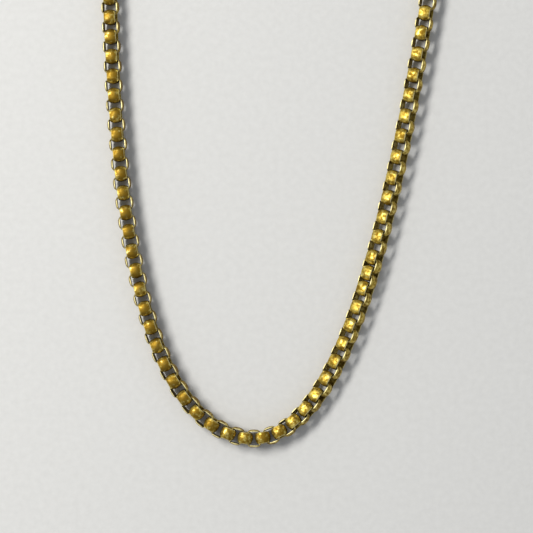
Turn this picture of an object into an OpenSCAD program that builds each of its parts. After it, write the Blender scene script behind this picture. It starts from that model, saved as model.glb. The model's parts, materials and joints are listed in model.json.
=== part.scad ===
// Round box chain necklace, laid out flat and open, with a lobster clasp.
// Every link is its own closed ring; five links at a time share one node, so
// the chain keeps real link-to-link joints all along its length.

/* [Links] */
// Length of a link along the chain
link_l = 2.87; // [2.84:0.01:2.9]
// Width of a link across the chain
link_w = 3.32; // [3.30:0.01:3.4]
// Width of the flat wire that a link is bent from
band_w = 2.14; // [1.96:0.02:2.16]
// Thickness of that wire at its middle
wire_t = 0.42; // [0.40:0.01:0.43]
// How far the crowned face of the wire falls away at its edges
crown = 0.22; // [0.16:0.01:0.24]
// Outer corner radius of a link
link_r = 1.12; // [1.05:0.01:1.15]

/* [Chain] */
// Angle that a flexing place may turn each way
flex = 12; // [6:1:12]
// Tightest turn of the curve at its bottom, left and right half
turn_left = 13.26; // [13:0.1:15]
turn_right = 9.24; // [9:0.1:11]
// How far the whole curve leans over to the right, in degrees
lean = 5.19; // [3:0.1:7]
// Share of a quarter turn that each arm comes round
spread = 1.02; // [0.99:0.01:1.02]

/* [Rings] */
// Radius of the jump ring, to the middle of its wire
jump_r = 1.9; // [1.85:0.05:2.1]
// Radius of the jump ring's wire
jump_wire = 0.35; // [0.30:0.01:0.35]
// Radius of the end ring, to the middle of its wire
end_r = 2.2; // [2.1:0.05:2.5]
// Radius of the end ring's wire
end_wire = 0.4; // [0.35:0.01:0.4]

/* [Clasp] */
// Height of the clasp lying on its side
clasp_h = 2.5; // [2.44:0.02:2.6]
// Outer radius of the claw
claw_r = 2.9; // [2.85:0.05:3.0]
// Thickness of the trigger's arm
trigger_h = 1.8; // [1.6:0.05:1.8]
// Width of the slot that the trigger turns in
slot_h = 1.2; // [1.16:0.02:1.3]
// Radius of the rivet that the trigger turns on
rivet_r = 0.4; // [0.35:0.01:0.42]

/* [Hidden] */
$fn = 64;
eps = 0.01;
ARMS = 26;          // segments in each arm
GROUP = 5;          // links in a segment
HALF = 2;           // links of the middle segment on each side of its centre
LAST = HALF + ARMS * GROUP + 1;
in_l = link_l - 2 * wire_t;
in_w = link_w - 2 * wire_t;
in_r = 0.2;
crown_r = (band_w * band_w / 4 + crown * crown) / (2 * crown);
air = 0.05;         // least gap left between two links

function bell(s, mid, wide) = exp(-pow((s - mid) / wide, 2));
function ramp(s, a, b) = s <= a ? 0 : s >= b ? 1 : pow((s - a) / (b - a), 2) * (3 - 2 * (s - a) / (b - a));

// heading of the chain at the distance s from its bottom
function turn(s) = s < 0 ? turn_left : turn_right;
function sway(s) = 3 * ramp(abs(s), 110, 150) * sin(360 * (abs(s) - 110) / 105);
function heading(s) = spread * atan(s / turn(s)) - lean + sway(s);
function bend(s) = spread * 57.3 / turn(s) / (1 + pow(s / turn(s), 2));

// roll about its own line: the flank that shows from above changes along it
function roll(s) = 9 * bell(s, -12.5, 8) + 6 * bell(s, -24, 9) + 8 * bell(s, -90, 20)
    + 9 * bell(s, -160, 30) + 9 * bell(s, 175, 28) - 4 * bell(s, 39, 5)
    - 30 * ramp(s, -3, 20) * (1 - 0.5 * ramp(s, 58, 96)) * (1 - ramp(s, 98, 150));

// height of the chain's line above the ground, for a crowned link at that roll
function rise(s) = crown_r - (crown_r - link_w / 2) * cos(roll(s));

// distance between link centres as it lies: slack at the bottom and at one place
// on the right, drawn out beyond that
function lie(s) = 1.797 - 0.18 * ramp(s, -14, 2) * (1 - ramp(s, 13, 17))
    - 0.3 * ramp(s, 35.4, 36.6) * (1 - ramp(s, 42, 43)) - 0.15 * bell(s, 52, 1.6)
    + 0.14 * ramp(s, 42, 43) * (1 - ramp(s, 110, 150));
function room(a) = link_l - 2 * wire_t - air - band_w / 2 * sin(a);
function flex_step(s) = min(lie(s), room(bend(s) * 1.6) - band_w / 2 * sin(flex));
function inner_step(s) = min(
    (GROUP * lie(s) - flex_step(s)) / (GROUP - 1),
    room(bend(s) * 1.75) - 0.01);

// link j is the first of a segment when it follows a flexing place
function first(j) = j > HALF && (j - HALF - 1) % GROUP == 0 && j < LAST;
function step(j, s) = first(j) ? flex_step(s) : inner_step(s);

// each arm's links as [distance, x, y], from the middle link outwards
MIDDLE = 0.92;      // the middle link's own place along the curve
function walk(side) = [
    for (j = 0, s = MIDDLE, x = 0, y = 0, d = 0; j <= LAST;
         j = j + 1,
         d = step(j, s),
         x = x + side * d * cos(heading(s + side * d / 2)),
         y = y + side * d * sin(heading(s + side * d / 2)),
         s = s + side * d)
    [s, x, y]];
LEFT = walk(-1);
RIGHT = walk(1);

// the middle of the box around everything goes to the origin
shift_x = -12.253;
shift_y = -121.624;

// the clasp's own measures, from the eye's centre along the clasp
eye_r = 0.9;
eye_wire = 0.32;
eye_z = eye_r + eye_wire + 0.02;
claw_x = 7.2;
rivet_x = 4.3;
rivet_y = 1.0;
cheek_r = 1.05;
open_r = 1.7;
reach_r = 4.85;
lap_y = 1.55;
arm_r = 4.12;
thread = in_l / 2 - 0.85;   // the ring's wire from the last link's centre
jump_z = 1.05;
end_z = 1.02;
end_tilt = asin((end_z - end_wire - 0.02) / (2 * end_r));

module rounded(l, w, r) {
    square([l - 2 * r, w], center = true);
    square([l, w - 2 * r], center = true);
    for (x = [-1, 1])
        for (y = [-1, 1])
            translate([x * (l / 2 - r), y * (w / 2 - r)]) circle(r = r);
}

// one link, standing on edge: its hole runs along Y
module link() {
    intersection() {
        rotate([90, 0, 0])
            linear_extrude(height = band_w, center = true)
                difference() {
                    rounded(link_l + 0.04, link_w + 0.04, link_r + 0.02);
                    rounded(in_l, in_w, in_r);
                }
        for_ends(link_l / 2) cylinder(r = crown_r, h = 8, center = true);
        rotate([0, 90, 0]) for_ends(link_w / 2) cylinder(r = crown_r, h = 8, center = true);
    }
}

// the lens that two crowned faces leave between them
module for_ends(half) {
    intersection() {
        translate([half - crown_r, 0, 0]) children();
        translate([crown_r - half, 0, 0]) children();
    }
}

module place(p) {
    translate([p[1] + shift_x, p[2] + shift_y, rise(p[0])])
        rotate([0, 0, heading(p[0])])
            rotate([roll(p[0]), 0, 0])
                children();
}

module links(arm, from, to) {
    color("darkgoldenrod")
        for (j = [from:to])
            place(arm[j]) rotate([j % 2 == 0 ? 90 : 0, 0, 0]) link();
}

module chain_center() {
    links(RIGHT, 0, HALF);
    links(LEFT, 1, HALF);
}

module segment(arm, k) {
    links(arm, HALF + 1 + (k - 1) * GROUP, k == ARMS ? LAST : HALF + k * GROUP);
}

// from the last link of an arm, looking outwards along the chain
module arm_end(arm, side) {
    p = arm[LAST];
    translate([p[1] + shift_x, p[2] + shift_y, 0])
        rotate([0, 0, heading(p[0]) + (side < 0 ? 180 : 0)])
            children();
}

module ring(r, wire) {
    rotate_extrude() translate([r, 0]) circle(r = wire);
}

module jump_ring() {
    color("goldenrod")
        arm_end(RIGHT, 1)
            translate([thread + jump_r, 0, jump_z]) ring(jump_r, jump_wire);
}

module end_ring() {
    color("goldenrod")
        arm_end(LEFT, -1)
            translate([thread, 0, end_z])
                rotate([0, end_tilt, 0])
                    translate([end_r, 0, 0]) ring(end_r, end_wire);
}

module at_clasp() {
    arm_end(RIGHT, 1) translate([thread + 2 * jump_r, 0, 0]) children();
}

// the room in front of the rivet that the trigger's arm sweeps
module wedge() {
    translate([rivet_x, rivet_y])
        polygon([[0, 0], [1.7, -1.6], [4, -1], [6, 0], [6, 6], [0, 6]]);
}

module claw_plan() {
    difference() {
        union() {
            translate([claw_x, 0]) circle(r = claw_r);
            polygon([[0.95, -0.8], [5.6, -2.4], [5.6, 2.4], [0.95, 0.8]]);
        }
        translate([claw_x + 0.1, 0]) circle(r = open_r);
        intersection() {
            wedge();
            translate([rivet_x, rivet_y]) circle(r = arm_r + 0.08);
        }
        intersection() {
            translate([rivet_x, rivet_y]) circle(r = reach_r);
            translate([claw_x, -1]) square([3, 1 + lap_y]);
        }
    }
    intersection() {
        translate([rivet_x, rivet_y]) circle(r = cheek_r);
        translate([0, -2]) square([rivet_x + 2, 6]);
    }
}

module clasp_body() {
    color("goldenrod")
        at_clasp() {
            difference() {
                intersection() {
                    linear_extrude(height = clasp_h) claw_plan();
                    translate([5, 0, clasp_h - 16]) sphere(r = 16);
                }
                translate([2.5, -0.3, clasp_h / 2 - slot_h / 2]) cube([6, 5, slot_h]);
                translate([rivet_x, rivet_y, -1]) cylinder(r = rivet_r, h = clasp_h + 2);
            }
            translate([0, 0, eye_z]) rotate([90, 0, 0]) ring(eye_r, eye_wire);
            translate([0.98, -0.5, 0.35]) cube([0.8, 1, 1.7]);
        }
}

module trigger_arm() {
    difference() {
        union() {
            intersection() {
                translate([claw_x, 0]) circle(r = claw_r);
                translate([rivet_x, rivet_y]) circle(r = arm_r);
                translate([rivet_x, 0.75]) square([6, 3]);
            }
            translate([7.9, 0.92]) square([1.03, lap_y - 0.06 - 0.92]);
            translate([5.75, 2]) square([0.8, 1.3]);
            translate([6.15, 3.3]) circle(r = 0.4);
        }
        translate([claw_x + 0.1, 0]) circle(r = 1.5);
        translate([rivet_x, rivet_y]) circle(r = cheek_r + 0.1);
    }
}

module clasp_trigger() {
    root_h = slot_h - 0.1;
    color("darkgoldenrod")
        at_clasp()
            translate([0, 0, clasp_h / 2])
                difference() {
                    union() {
                        linear_extrude(height = trigger_h, center = true) trigger_arm();
                        translate([rivet_x, rivet_y, 0])
                            cylinder(r = 0.85, h = root_h, center = true);
                        translate([rivet_x, 0.35, -root_h / 2]) cube([1.3, 1.3, root_h]);
                    }
                    translate([rivet_x, rivet_y, 0])
                        cylinder(r = rivet_r + 0.04, h = 4, center = true);
                }
}

module trigger_rivet() {
    color("lightgoldenrodyellow")
        at_clasp()
            translate([rivet_x, rivet_y, 0.03]) cylinder(r = rivet_r, h = clasp_h - 0.08);
}

// a bent strip along the slot's floor; its free end bears on the trigger's root
module trigger_spring() {
    color("silver")
        at_clasp()
            translate([4.05, 2.42, clasp_h / 2 - 0.4])
                rotate([0, 0, 239])
                    rotate_extrude(angle = 56)
                        translate([2.46, 0]) square([0.12, 0.8]);
}

chain_center();
for (k = [1:ARMS]) {
    segment(LEFT, k);
    segment(RIGHT, k);
}
jump_ring();
end_ring();
clasp_body();
clasp_trigger();
trigger_rivet();
trigger_spring();
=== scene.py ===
"""Looks of the round box chain necklace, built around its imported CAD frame."""

import json
import math

import bmesh
import bpy
import numpy as np
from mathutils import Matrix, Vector


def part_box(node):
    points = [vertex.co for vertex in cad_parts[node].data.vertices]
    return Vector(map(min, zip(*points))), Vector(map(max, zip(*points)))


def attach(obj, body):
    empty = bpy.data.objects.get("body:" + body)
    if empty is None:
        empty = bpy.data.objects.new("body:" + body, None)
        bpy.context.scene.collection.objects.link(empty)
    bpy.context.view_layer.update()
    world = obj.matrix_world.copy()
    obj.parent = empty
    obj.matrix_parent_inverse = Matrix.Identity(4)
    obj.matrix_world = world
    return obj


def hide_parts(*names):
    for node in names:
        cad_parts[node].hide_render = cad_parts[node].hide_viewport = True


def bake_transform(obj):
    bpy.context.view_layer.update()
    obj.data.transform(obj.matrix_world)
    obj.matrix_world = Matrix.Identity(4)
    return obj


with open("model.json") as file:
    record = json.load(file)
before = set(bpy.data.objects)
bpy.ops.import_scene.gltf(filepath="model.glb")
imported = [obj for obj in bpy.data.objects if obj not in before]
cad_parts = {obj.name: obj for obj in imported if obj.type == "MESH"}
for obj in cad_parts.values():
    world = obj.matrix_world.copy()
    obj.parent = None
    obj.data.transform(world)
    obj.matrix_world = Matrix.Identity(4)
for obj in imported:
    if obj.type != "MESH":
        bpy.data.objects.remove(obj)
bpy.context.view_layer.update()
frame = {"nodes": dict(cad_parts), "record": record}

MM = 0.001

# ---------------------------------------------------------------- measures
# all in mm
LINK_L, LINK_W = 2.87, 3.32  # a link's length along the chain, and its width
BAND_W, WIRE_T = 2.14, 0.42  # its wire's width and thickness
CROWN = 0.22  # how far the wire's outer face falls away at its edges
OUTER_R, INNER_R = 0.78, 0.1  # corners of its outline, outside and inside
RIM_R, INNER_RIM_R = 0.035, 0.025  # rounding of the wire's edges, outside and inside
RIM_START = 0.012  # how far the outer face has dropped where that rounding starts
TAPER_FROM, TAPER_OVER = 0.5, 0.55  # where the wire starts to narrow, and over how much
DENT_SIZES, DENT_DEPTH = (0.5, 0.9), 0.00315  # worn hollows: how long, and how deep
WELD = 0.002  # CAD points closer than this count as one
JUMP_RING_GAP, END_RING_GAP = 0.06, 0.04  # seams where the rings' wire meets
BODY_VOXEL, TRIGGER_VOXEL = 0.07, 0.06  # grain of the castings' meshes
RIVET_ROUND, RIVET_END = 0.05, 0.1  # height of the rivet's rounding, and of its ends
VIEW_W = 98.2  # width of the picture on the ground
VIEW_FROM_BOTTOM = (2.28, 31.22)  # picture's middle, from the middle link
CAMERA_H = 520.0  # camera above the ground
SENSOR = 36.0
FLOOR_HALF, FLOOR_DROP = 1600.0, 0.02  # half the floor's side, and its depth below the chain
KEY_PLACE, KEY_SIZE = (-385.0, 190.0, 500.0), (440.0, 130.0)  # from the picture's middle
KEY_POWER, WORLD_STRENGTH = 5.5, 0.46  # in W, and Blender's own unit

# shares of a link's own size
BOW, END_BOW = 0.19, 0.057  # how far its sides and its ends bow outwards
WAIST = 0.02  # how much the wire narrows at the middle of a side
TAPER = 0.1  # how much the wire narrows towards the link's ends
END_FROM, END_OVER = 0.45, 0.05  # where the painted shade on the link's end starts, and over how much


def new_object(name, data):
    obj = bpy.data.objects.new(name, data)
    bpy.context.scene.collection.objects.link(obj)
    return obj


def mesh_from(name, verts, faces, smooth=True):
    mesh = bpy.data.meshes.new(name)
    mesh.from_pydata([tuple(v) for v in verts], [], [tuple(f) for f in faces])
    mesh.update()
    if smooth:
        mesh.polygons.foreach_set("use_smooth", [True] * len(mesh.polygons))
    return mesh


def skin(rings, sides, closed=False):
    """The quads between rings of points, each with that many sides."""
    return [(i * sides + k, i * sides + (k + 1) % sides,
             (i + 1) % rings * sides + (k + 1) % sides, (i + 1) % rings * sides + k)
            for i in range(rings if closed else rings - 1) for k in range(sides)]


def attribute(mesh, name, values):
    layer = mesh.attributes.new(name, "FLOAT", "POINT")
    layer.data.foreach_set("value", np.asarray(values, np.float32))


# ---------------------------------------------------------------- where the links are
def islands(obj):
    """The closed solids in a CAD node, as (centre, spread matrix) pairs."""
    mesh = obj.data
    co = np.zeros(len(mesh.vertices) * 3)
    mesh.vertices.foreach_get("co", co)
    co = co.reshape(-1, 3)
    mesh.calc_loop_triangles()
    tris = np.zeros(len(mesh.loop_triangles) * 3, np.int64)
    mesh.loop_triangles.foreach_get("vertices", tris)
    _, weld = np.unique(np.round(co / (WELD * MM)).astype(np.int64), axis=0,
                        return_inverse=True)
    tris = weld.ravel()[tris.reshape(-1, 3)]
    points = np.zeros((weld.max() + 1, 3))
    points[weld.ravel()] = co
    # the lowest point number spreads over all the points that triangles join
    label = np.arange(len(points))
    while True:
        low = label[tris].min(axis=1)
        before = label.copy()
        for k in range(3):
            np.minimum.at(label, tris[:, k], low)
        label = label[label]
        if (label == before).all():
            break
    found = []
    for one in np.unique(label[tris[:, 0]]):
        a, b, c = (points[tris[label[tris[:, 0]] == one][:, k]] for k in range(3))
        area = np.linalg.norm(np.cross(b - a, c - a), axis=1)
        mid = (a + b + c) / 3
        centre = (mid * area[:, None]).sum(0) / area.sum()
        # a flat triangle's exact spread: each corner counts once and its middle nine times
        spread = np.zeros((3, 3))
        for corner, weight in ((a, 1), (b, 1), (c, 1), (mid, 9)):
            d = corner - centre
            spread += weight * (d * area[:, None]).T @ d
        found.append((centre, spread))
    return found


def chain_order(nodes):
    """Every link of the chain, from the end ring to the clasp, as (node, centre, axes):
    its hole's axis, its length's and its width's, as columns."""
    links = []
    for name, obj in nodes.items():
        if name.startswith("chain_"):
            links += [(name, c, np.linalg.eigh(s)[1]) for c, s in islands(obj)]
    here = np.mean([list(v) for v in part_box("end_ring")], axis=0)
    ordered, left = [], list(range(len(links)))
    while left:
        near = min(left, key=lambda i: np.linalg.norm(links[i][1] - here))
        left.remove(near)
        ordered.append(links[near])
        here = links[near][1]
    return ordered


def along(points, i):
    """Which way the chain goes at link i, from its neighbours."""
    return points[min(i + 1, len(points) - 1)] - points[max(i - 1, 0)]


# ---------------------------------------------------------------- one link's surface
def rounded_loop(a, b, r, bow, corner=7, flat=5):
    """Points round a rounded rectangle of half sizes a and b, bowed outwards by the
    shares given for its ends and its sides."""
    points = []
    for q, (sx, sy) in enumerate(((1, 1), (-1, 1), (-1, -1), (1, -1))):
        centre = np.array([sx * (a - r), sy * (b - r)])
        for k in range(corner):
            angle = math.pi / 2 * (q + k / (corner - 1))
            points.append(centre + r * np.array([math.cos(angle), math.sin(angle)]))
        turn = math.pi / 2 * (q + 1)
        after = ((-1, 1), (-1, -1), (1, -1), (1, 1))[q]
        here = points[-1]
        there = np.array([after[0] * (a - r), after[1] * (b - r)])
        there = there + r * np.array([math.cos(turn), math.sin(turn)])
        points += [here + (there - here) * k / (flat + 1) for k in range(1, flat + 1)]
    points = np.array(points)
    share = points / np.array([LINK_L / 2, LINK_W / 2])
    return points * (1 - share[:, ::-1] ** 2 * np.array(bow))


# places across the wire, as shares of half its width
OUTER_Y = [-0.985, -0.93, -0.8, -0.58, -0.3, 0.0, 0.3, 0.58, 0.8, 0.93, 0.985]
INNER_Y = [0.96, 0.6, 0.0, -0.6, -0.96]


def link_surface():
    """A link standing on edge, in mm: x along the chain, its hole along y. Also how
    far each point is towards the wire's edge, how far it is out of reach and so in
    painted shade, and how near it is to the middle of an outer face, where a dark
    reflection is painted."""
    outer = rounded_loop(LINK_L / 2, LINK_W / 2, OUTER_R, (END_BOW, BOW))
    inner = rounded_loop(LINK_L / 2 - WIRE_T, LINK_W / 2 - WIRE_T, INNER_R, (0.0, 0.0))
    step = np.roll(outer, -1, axis=0) - np.roll(outer, 1, axis=0)
    normal = np.stack([step[:, 1], -step[:, 0]], 1) / np.linalg.norm(step, axis=1)[:, None]
    verts, edge, recess_and_shade, face = [], [], [], []
    section = [(f, "out") for f in OUTER_Y] + [(1.0, "rim_out"), (1.0, "rim_in")]
    section += [(f, "in") for f in INNER_Y] + [(-1.0, "rim_in"), (-1.0, "rim_out")]
    for p, n, q in zip(outer, normal, inner):
        end = min(max((abs(p[0]) - END_FROM * LINK_L) / (END_OVER * LINK_L), 0), 1)
        width = 1 - WAIST * math.cos(math.pi * p[0] / LINK_L) ** 2
        width -= TAPER * min(max((abs(p[0]) - TAPER_FROM) / TAPER_OVER, 0), 1) ** 2
        for f, kind in section:
            fall = CROWN * f * f
            if kind == "out":
                at = p - n * (fall + (RIM_START if abs(f) == OUTER_Y[-1] else 0))
            elif kind == "rim_out":
                at = p - n * (fall + RIM_R)
            elif kind == "rim_in":
                at = q + (p - q) / np.linalg.norm(p - q) * INNER_RIM_R
            else:
                at = q
            verts.append((at[0], f * BAND_W / 2 * width, at[1]))
            edge.append(abs(f) if kind != "in" else 0.6 * abs(f))
            # how deep in painted shade: inner faces, inner rims and the link's ends; the same
            # share keeps worn hollows off them
            recess_and_shade.append(max({"in": 0.6, "rim_in": 0.4}.get(kind, 0.0), end))
            # how much painted dark reflection: most in the middle of an outer face
            middle = (1 - (2 * p[0] / LINK_L) ** 2) * (1 - 0.85 * f * f)
            face.append(middle if kind == "out" else 0)
    faces = skin(len(outer), len(section), closed=True)
    return np.array(verts), np.array(faces), {"edge": edge, "recess_and_shade": recess_and_shade, "face": face}


def dents(points, normals, seed):
    """Small hollows and rises of a worn, tumbled surface, in mm."""
    r = np.random.default_rng(seed)
    out = np.zeros(len(points))
    for size in DENT_SIZES:
        for _ in range(5):
            k = r.normal(size=3)
            k *= 2 * math.pi / size / np.linalg.norm(k)
            out += DENT_DEPTH * np.sin(points @ k + r.uniform(0, 2 * math.pi))
    return points + normals * out[:, None]


def vertex_normals(verts, faces):
    normals = np.zeros_like(verts)
    a, b, c, d = (verts[faces[:, k]] for k in range(4))
    n = np.cross(c - a, d - b)
    for k in range(4):
        np.add.at(normals, faces[:, k], n)
    return normals / np.linalg.norm(normals, axis=1)[:, None]


# ---------------------------------------------------------------- materials
def node(tree, kind, **values):
    made = tree.nodes.new(kind)
    for name, value in values.items():
        made.inputs[name].default_value = value
    return made


def noise_at(tree, scale, detail=3.0, roughness=0.5, distortion=0.0):
    where = tree.nodes.new("ShaderNodeTexCoord")
    made = node(tree, "ShaderNodeTexNoise", Scale=scale, Detail=detail,
                Roughness=roughness, Distortion=distortion)
    tree.links.new(where.outputs["Object"], made.inputs["Vector"])
    return made.outputs["Fac"]


def ramp(tree, source, stops):
    made = tree.nodes.new("ShaderNodeValToRGB")
    while len(made.color_ramp.elements) < len(stops):
        made.color_ramp.elements.new(0.5)
    for element, (at, value) in zip(made.color_ramp.elements, stops):
        element.position = at
        element.color = (*value, 1) if isinstance(value, tuple) else (value,) * 3 + (1,)
    tree.links.new(source, made.inputs["Fac"])
    return made.outputs["Color"]


def mix(tree, share, a, b):
    made = tree.nodes.new("ShaderNodeMix")
    made.data_type = "RGBA"
    tree.links.new(share, made.inputs["Factor"])
    for socket, value in ((made.inputs["A"], a), (made.inputs["B"], b)):
        if isinstance(value, tuple):
            socket.default_value = (*value, 1)
        else:
            tree.links.new(value, socket)
    return made.outputs["Result"]


def math_node(tree, operation, a, b):
    made = tree.nodes.new("ShaderNodeMath")
    made.operation = operation
    for socket, value in ((made.inputs[0], a), (made.inputs[1], b)):
        if isinstance(value, (int, float)):
            socket.default_value = value
        else:
            tree.links.new(value, socket)
    return made.outputs[0]


def attribute_of(tree, name):
    made = tree.nodes.new("ShaderNodeAttribute")
    made.attribute_name = name
    return made.outputs["Fac"]


def principled(name):
    material = bpy.data.materials.new(name)
    material.use_nodes = True
    tree = material.node_tree
    return material, tree, tree.nodes["Principled BSDF"]


def worn_gold(name, bright, deep, pale, tarnish_and_dark_reflection, dulling, roughness, on_links):
    """Gold plating worn in patches: warm, with brown where it has dulled; on the links this
    brown is also a painted dark reflection.
    """
    material, tree, shader = principled(name)
    patches = noise_at(tree, 1700, 3, 0.5, 0.2)
    broad = noise_at(tree, 700, 3, 0.6)
    tone = ramp(tree, patches, [(0.36, deep), (0.54, bright), (0.72, pale)])
    wear_and_dark_reflection = math_node(tree, "ADD", math_node(tree, "MULTIPLY", patches, 0.55),
                     math_node(tree, "MULTIPLY", broad, 0.45))
    # on the links, a painted dark reflection browns the middle of each outer face
    if on_links:
        middle = math_node(tree, "MULTIPLY", attribute_of(tree, "face"), 0.22)
        wear_and_dark_reflection = math_node(tree, "SUBTRACT", wear_and_dark_reflection, math_node(
            tree, "MULTIPLY", attribute_of(tree, "dullness_and_dark_reflection"), middle))
    brown = ramp(tree, wear_and_dark_reflection, [(dulling - 0.08, 0.88), (dulling + 0.06, 0.0)])
    colour = mix(tree, brown, tone, tarnish_and_dark_reflection)
    dullness_and_dark_reflection = ramp(tree, patches, [(0.35, roughness + 0.14), (0.65, roughness - 0.06)])
    if on_links:
        rim = ramp(tree, attribute_of(tree, "edge"), [(0.88, 0.0), (1.0, 0.8)])
        colour = mix(tree, rim, colour, RIM)
        # painted shade: the link's ends and the insides of the wire go near-black brown
        recess_and_shade = ramp(tree, attribute_of(tree, "recess_and_shade"), [(0.3, 0.0), (1.0, 0.94)])
        colour = mix(tree, recess_and_shade, colour, PAINTED_SHADE)
    tree.links.new(colour, shader.inputs["Base Color"])
    tree.links.new(dullness_and_dark_reflection, shader.inputs["Roughness"])
    shader.inputs["Metallic"].default_value = 1.0
    grain = node(tree, "ShaderNodeBump", Strength=0.35, Distance=0.00004)
    tree.links.new(noise_at(tree, 4200, 3), grain.inputs["Height"])
    pits = node(tree, "ShaderNodeBump", Strength=0.3, Distance=0.00006)
    tree.links.new(patches, pits.inputs["Height"])
    tree.links.new(grain.outputs["Normal"], pits.inputs["Normal"])
    tree.links.new(pits.outputs["Normal"], shader.inputs["Normal"])
    return material


# the gold's tones; then brown for tarnish and for the painted dark reflection on the links,
# near-black brown for painted shade, and the rims' pale gold
BRIGHT, DEEP, PALE = (0.57, 0.43, 0.085), (0.45, 0.31, 0.045), (0.7, 0.61, 0.23)
TARNISH_AND_DARK_REFLECTION, PAINTED_SHADE, RIM = (0.17, 0.095, 0.008), (0.05, 0.026, 0.006), (0.8, 0.72, 0.38)
link_gold = worn_gold("link_gold", BRIGHT, DEEP, PALE, TARNISH_AND_DARK_REFLECTION, 0.47, 0.48, True)
ring_gold = worn_gold("ring_gold", BRIGHT, DEEP, PALE, TARNISH_AND_DARK_REFLECTION, 0.34, 0.36, False)
clasp_gold = worn_gold("clasp_gold", BRIGHT, DEEP, PALE, TARNISH_AND_DARK_REFLECTION, 0.34, 0.34, False)
pin_gold = worn_gold("pin_gold", PALE, BRIGHT, PALE, TARNISH_AND_DARK_REFLECTION, 0.3, 0.3, False)

spring_steel, tree, shader = principled("spring_steel")
tree.links.new(ramp(tree, noise_at(tree, 2500), [(0.4, 0.42), (0.6, 0.6)]),
               shader.inputs["Base Color"])
tree.links.new(ramp(tree, noise_at(tree, 5000), [(0.3, 0.25), (0.7, 0.4)]),
               shader.inputs["Roughness"])
shader.inputs["Metallic"].default_value = 1.0

# ---------------------------------------------------------------- the chain
body_of = {n: body for body, ns in frame["record"]["behaviour"]["bodies"].items() for n in ns}


def fit(mesh, node_name, material):
    """A finished mesh in place of a CAD node."""
    mesh.materials.clear()
    mesh.materials.append(material)
    piece = new_object(mesh.name, mesh)
    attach(piece, body_of[node_name])
    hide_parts(node_name)


chain = chain_order(frame["nodes"])
centres = [c for _, c, _ in chain]
surface, quads, marks = link_surface()
normals = vertex_normals(surface, quads)
if (normals * surface)[:, 1:].sum() < 0:
    normals, quads = -normals, quads[:, ::-1]
reach = 1 - np.array(marks["recess_and_shade"])
members = {}
for i, (name, centre, axes) in enumerate(chain):
    t = axes[:, 1] * np.sign(axes[:, 1] @ along(centres, i))
    y = axes[:, 0]
    z = np.cross(t, y)
    # all links the same way up: by the width's axis, or by the hole's where that lies flat
    if z[2] < -0.3 or (abs(z[2]) <= 0.3 and y[2] < 0):
        y, z = -y, -z
    shaped = dents(surface, normals * reach[:, None], 100 + i)
    own = np.random.default_rng(i).uniform(-0.2, 0.2)
    # painted dark reflection: the middles of the links on the arm with the end ring are
    # browner, and the change comes in the bottom of the curve; each link also varies a little
    # at random
    dullness_and_dark_reflection = 0.55 - 0.42 * math.tanh((i - len(chain) / 2) / 8) + own
    members.setdefault(name, []).append((centre + shaped @ np.array([t, y, z]) * MM, dullness_and_dark_reflection))

for name, parts in members.items():
    verts = np.concatenate([v for v, _ in parts])
    faces = np.concatenate([quads + k * len(surface) for k in range(len(parts))])
    mesh = mesh_from(name + "_links", verts, faces)
    for mark, values in marks.items():
        attribute(mesh, mark, np.tile(values, len(parts)))
    attribute(mesh, "dullness_and_dark_reflection", np.repeat([d for _, d in parts], len(surface)))
    fit(mesh, name, link_gold)


# ---------------------------------------------------------------- rings
def wire_ring(name, seam_towards, gap):
    """A ring of round wire bent shut: its two cut ends meet at a fine seam. The gap there
    is in mm."""
    (centre, spread), = islands(frame["nodes"][name])
    axis = np.linalg.eigh(spread)[1][:, 0]
    mesh = frame["nodes"][name].data
    co = np.array([v.co[:] for v in mesh.vertices]) - centre
    wire = np.abs(co @ axis).max()
    radius = np.linalg.norm(co - np.outer(co @ axis, axis), axis=1).max() - wire
    u = np.array(seam_towards) - axis * np.dot(seam_towards, axis)
    u /= np.linalg.norm(u)
    v = np.cross(axis, u)
    # turns round the ring, in radians, and the wire's share of its thickness at each:
    # the cut ends are rounded over
    first = [gap * MM / 2 / radius + turn for turn in (0, 0.0048, 0.012, 0.024)]
    last = [2 * math.pi - turn for turn in reversed(first)]
    turns = first + list(np.linspace(first[-1], last[0], 96)[1:-1]) + last
    cut = [0.86, 0.95, 0.985]
    shrink = cut + [1.0] * (len(turns) - 2 * len(cut)) + cut[::-1]
    verts, sides = [], 24
    for turn, share in zip(turns, shrink):
        out = u * math.cos(turn) + v * math.sin(turn)
        for k in range(sides):
            a = 2 * math.pi * k / sides
            around = out * math.cos(a) + axis * math.sin(a)
            verts.append(centre + out * radius + wire * share * around)
    faces = skin(len(turns), sides)
    faces += [tuple(range(sides))[::-1], tuple(range(len(verts) - sides, len(verts)))]
    made = mesh_from(name + "_wire", verts, faces)
    fit(made, name, ring_gold)


def middle_of(name):
    low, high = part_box(name)
    return np.array([*(low + high) / 2])


claspward = middle_of("clasp_body") - middle_of("jump_ring")
wire_ring("jump_ring", np.cross(claspward, (0, 0, 1)), JUMP_RING_GAP)
chainward = middle_of("chain_left_26") - middle_of("end_ring")
wire_ring("end_ring", np.cross((0, 0, 1), chainward), END_RING_GAP)


# ---------------------------------------------------------------- clasp
def cast(name, voxel, material):
    """The CAD piece as a polished casting, with its edges rounded over."""
    source = frame["nodes"][name]
    shell = new_object(name + "_shell", source.data.copy())
    remesh = shell.modifiers.new("remesh", "REMESH")
    remesh.mode, remesh.voxel_size = "VOXEL", voxel * MM
    soften = shell.modifiers.new("soften", "SMOOTH")
    soften.factor, soften.iterations = 0.5, 5
    bpy.context.view_layer.update()
    graph = bpy.context.evaluated_depsgraph_get()
    mesh = bpy.data.meshes.new_from_object(shell.evaluated_get(graph))
    bpy.data.objects.remove(shell)
    mesh.name = name + "_cast"
    mesh.polygons.foreach_set("use_smooth", [True] * len(mesh.polygons))
    fit(mesh, name, material)


cast("clasp_body", BODY_VOXEL, clasp_gold)
cast("clasp_trigger", TRIGGER_VOXEL, clasp_gold)

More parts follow.
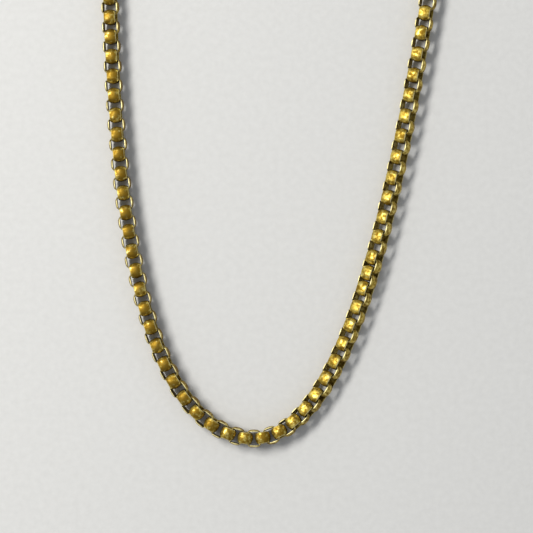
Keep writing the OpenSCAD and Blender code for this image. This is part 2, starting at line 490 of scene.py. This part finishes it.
# the rivet is turned: a profile from its foot to its head, each end rounded over
low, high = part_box("trigger_rivet")
pin_x, pin_y = (low.x + high.x) / 2, (low.y + high.y) / 2
rivet_r, rivet_h = (high.x - low.x) / 2, high.z - low.z
profile = [(0.0, 0.0)]
profile += [(rivet_r * math.sin(a), RIVET_ROUND * MM * (1 - math.cos(a)))
            for a in np.linspace(0.15, 1.45, 8)]
profile += [(rivet_r, RIVET_END * MM)]
profile += [(r, rivet_h - z) for r, z in reversed(profile)]
turns = np.arange(32) * 2 * math.pi / 32
verts = [(pin_x + r * math.cos(a), pin_y + r * math.sin(a), low.z + z)
         for r, z in profile for a in turns]
rivet = mesh_from("trigger_rivet_turned", verts, skin(len(profile), len(turns)))
work = bmesh.new()
work.from_mesh(rivet)
bmesh.ops.remove_doubles(work, verts=work.verts, dist=1e-8)
bmesh.ops.recalc_face_normals(work, faces=work.faces)
work.to_mesh(rivet)
work.free()
fit(rivet, "trigger_rivet", pin_gold)

# the leaf spring: its CAD mesh as it is, in spring steel
leaf = frame["nodes"]["trigger_spring"].data.copy()
leaf.materials.clear()
leaf.materials.append(spring_steel)
spring = new_object("trigger_spring_leaf", leaf)
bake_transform(spring)
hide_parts("trigger_spring")

# ---------------------------------------------------------------- floor, light, camera
middle = (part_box("chain_center")[0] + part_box("chain_center")[1]) / 2
target = Vector((middle.x + VIEW_FROM_BOTTOM[0] * MM,
                 middle.y + VIEW_FROM_BOTTOM[1] * MM, 0))

floor_material, tree, shader = principled("floor_card")
pale = [(0.3, (0.52, 0.52, 0.515)), (0.7, (0.55, 0.55, 0.545))]
tree.links.new(ramp(tree, noise_at(tree, 900, 4), pale), shader.inputs["Base Color"])
shader.inputs["Roughness"].default_value = 0.85
floor_bump = node(tree, "ShaderNodeBump", Strength=0.15, Distance=0.0001)
tree.links.new(noise_at(tree, 1600, 3), floor_bump.inputs["Height"])
tree.links.new(floor_bump.outputs["Normal"], shader.inputs["Normal"])
half = FLOOR_HALF * MM
corners = [(-half, -half, 0), (half, -half, 0), (half, half, 0), (-half, half, 0)]
floor = new_object("floor", mesh_from("floor", corners, [(0, 1, 2, 3)], smooth=False))
floor.location.z = -FLOOR_DROP * MM
floor.data.materials.append(floor_material)

world = bpy.data.worlds.new("studio")
bpy.context.scene.world = world
world.use_nodes = True
background = world.node_tree.nodes["Background"].inputs
background["Color"].default_value = (0.93, 0.96, 1.0, 1)
background["Strength"].default_value = WORLD_STRENGTH

light = bpy.data.lights.new("key", "AREA")
light.shape, light.energy, light.color = "RECTANGLE", KEY_POWER, (1.0, 0.98, 0.93)
light.size, light.size_y = (side * MM for side in KEY_SIZE)
key = new_object("key", light)
key.location = target + Vector(KEY_PLACE) * MM
key.rotation_mode = "QUATERNION"
key.rotation_quaternion = (target - key.location).to_track_quat("-Z", "Y")

camera = new_object("camera", bpy.data.cameras.new("camera"))
camera.data.sensor_width = SENSOR
camera.data.lens = SENSOR * CAMERA_H / VIEW_W
camera.location = (target.x, target.y, CAMERA_H * MM)
camera.data.clip_start, camera.data.clip_end = 0.01, 10
bpy.context.scene.camera = camera

bpy.context.scene.view_settings.view_transform = "Standard"

bpy.context.view_layer.update()
